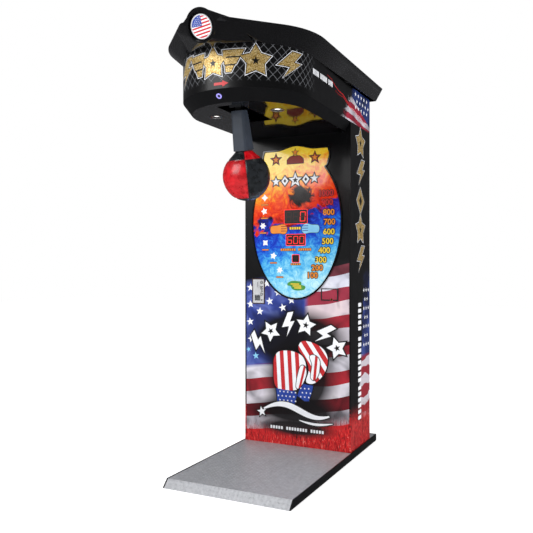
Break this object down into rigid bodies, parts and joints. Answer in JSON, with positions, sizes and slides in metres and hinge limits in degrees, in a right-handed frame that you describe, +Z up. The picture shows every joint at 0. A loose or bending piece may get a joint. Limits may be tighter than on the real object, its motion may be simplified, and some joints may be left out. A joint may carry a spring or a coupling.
{
  "type": "boxing punch machine",
  "caption": "Arcade punch machine: tread-plate platform, slim printed cabinet and an overhanging head with a padded bag on a swinging arm.",
  "frame": {"origin": "centre of the footprint's bounding box, on the floor", "axes": "+Z up, the player stands on the platform facing +Y, +X to the player's right"},
  "size_m": [0.785, 1.487, 2.136],
  "materials": {
    "black_powdercoat": "satin",
    "printed_panel": "gloss",
    "tread_aluminium": "bright",
    "frame_paint": "satin",
    "rubber_black": "matte",
    "zinc_steel": "satin",
    "gloss_black_moulding": "gloss",
    "black_acrylic": "gloss",
    "printed_acrylic": "gloss",
    "dark_plastic": "satin",
    "led_module": "satin",
    "circuit_board": "satin",
    "bright_steel": "polished",
    "bronze_trim": "satin",
    "lock_brass": "satin",
    "lamp_glass": "clear",
    "sleeve_plastic": "satin",
    "bag_leather": "gloss",
    "red_plastic": "gloss"
  },
  "bodies": {
    "machine": {"base_frame": "frame_paint", "tread_plate": "tread_aluminium", "rail_left": "black_powdercoat", "rail_right": "black_powdercoat", "floor_pads": "rubber_black", "wheel_brackets": "zinc_steel", "cabinet_frame": "frame_paint", "side_left": "printed_panel", "side_right": "printed_panel", "front_panel": "printed_panel", "back_panel": "black_powdercoat", "rear_hinges": "zinc_steel", "inlet_plate": "black_powdercoat", "display_bezel": "gloss_black_moulding", "display_lens": "printed_acrylic", "display_board": "circuit_board", "score_display": "led_module", "record_display": "led_module", "credit_display": "led_module", "coin_bezel": "bronze_trim", "coin_plate": "bright_steel", "coin_mech": "dark_plastic", "coin_chute": "zinc_steel", "cash_box": "frame_paint", "hatch_frame": "dark_plastic", "speaker": "dark_plastic", "power_supply": "zinc_steel", "control_board": "circuit_board", "power_inlet": "dark_plastic", "head_frame": "frame_paint", "head_band": "printed_panel", "head_skirt": "black_powdercoat", "underside_panel": "black_acrylic", "head_cap": "gloss_black_moulding", "badge_ring": "bright_steel", "badge_disc": "printed_acrylic", "lamp_rings": "zinc_steel", "lamp_lenses": "lamp_glass", "button_bezel": "bright_steel", "arm_bearings": "frame_paint", "arm_buffers": "rubber_black", "sensor_block": "dark_plastic", "anchor_bolts": "zinc_steel"},
    "punch_arm": {"arm_shaft": "bright_steel", "punch_arm": "black_powdercoat", "arm_sleeve": "sleeve_plastic", "bag_flange": "zinc_steel", "punch_bag": "bag_leather", "sensor_disc": "zinc_steel"},
    "start_button": {"start_button": "bright_steel"},
    "reject_button": {"reject_button": "bright_steel"},
    "coin_flap": {"coin_flap": "zinc_steel"},
    "service_hatch": {"service_hatch": "printed_panel"},
    "hatch_lock": {"hatch_lock": "lock_brass"},
    "rear_door": {"rear_door": "black_powdercoat"},
    "rear_lock": {"rear_lock": "bright_steel"},
    "power_rocker": {"power_rocker": "red_plastic"},
    "wheel_left": {"wheel_left": "rubber_black"},
    "wheel_right": {"wheel_right": "rubber_black"}
  },
  "joints": [
    {"name": "arm_swing", "type": "hinge", "parent": "machine", "child": "punch_arm", "pos_m": [0, -0.394, 1.87849], "axis": [1, 0, 0], "range_deg": [0, 42]},
    {"name": "start_press", "type": "slide", "parent": "machine", "child": "start_button", "axis": [0, 0.7071, 0.7071], "range_m": [0, 0.0015], "stiffness_N_per_m": 600},
    {"name": "reject_press", "type": "slide", "parent": "machine", "child": "reject_button", "axis": [0, 1, 0], "range_m": [0, 0.004], "stiffness_N_per_m": 400},
    {"name": "coin_flap_swing", "type": "hinge", "parent": "machine", "child": "coin_flap", "pos_m": [-0.241, 0.2935, 0.879], "axis": [1, 0, 0], "range_deg": [0, 60]},
    {"name": "hatch_open", "type": "hinge", "parent": "machine", "child": "service_hatch", "pos_m": [0.202, 0.2865, 0.92], "axis": [-1, 0, 0], "range_deg": [0, 85]},
    {"name": "hatch_lock_turn", "type": "hinge", "parent": "service_hatch", "child": "hatch_lock", "pos_m": [0.213, 0.2865, 0.8662], "axis": [0, -1, 0], "range_deg": [0, 180]},
    {"name": "rear_door_swing", "type": "hinge", "parent": "machine", "child": "rear_door", "pos_m": [-0.223, 0.6375, 0.76], "axis": [0, 0, 1], "range_deg": [0, 105]},
    {"name": "rear_lock_turn", "type": "hinge", "parent": "rear_door", "child": "rear_lock", "pos_m": [0.19, 0.6325, 0.76], "axis": [0, -1, 0], "range_deg": [0, 90]},
    {"name": "rocker_tilt", "type": "hinge", "parent": "machine", "child": "power_rocker", "pos_m": [0.207, 0.6315, 0.15], "axis": [1, 0, 0], "range_deg": [-12, 12]},
    {"name": "wheel_left_spin", "type": "hinge", "parent": "machine", "child": "wheel_left", "pos_m": [-0.235, 0.7055, 0.039], "axis": [1, 0, 0], "continuous": true},
    {"name": "wheel_right_spin", "type": "hinge", "parent": "machine", "child": "wheel_right", "pos_m": [0.235, 0.7055, 0.039], "axis": [1, 0, 0], "continuous": true}
  ]
}
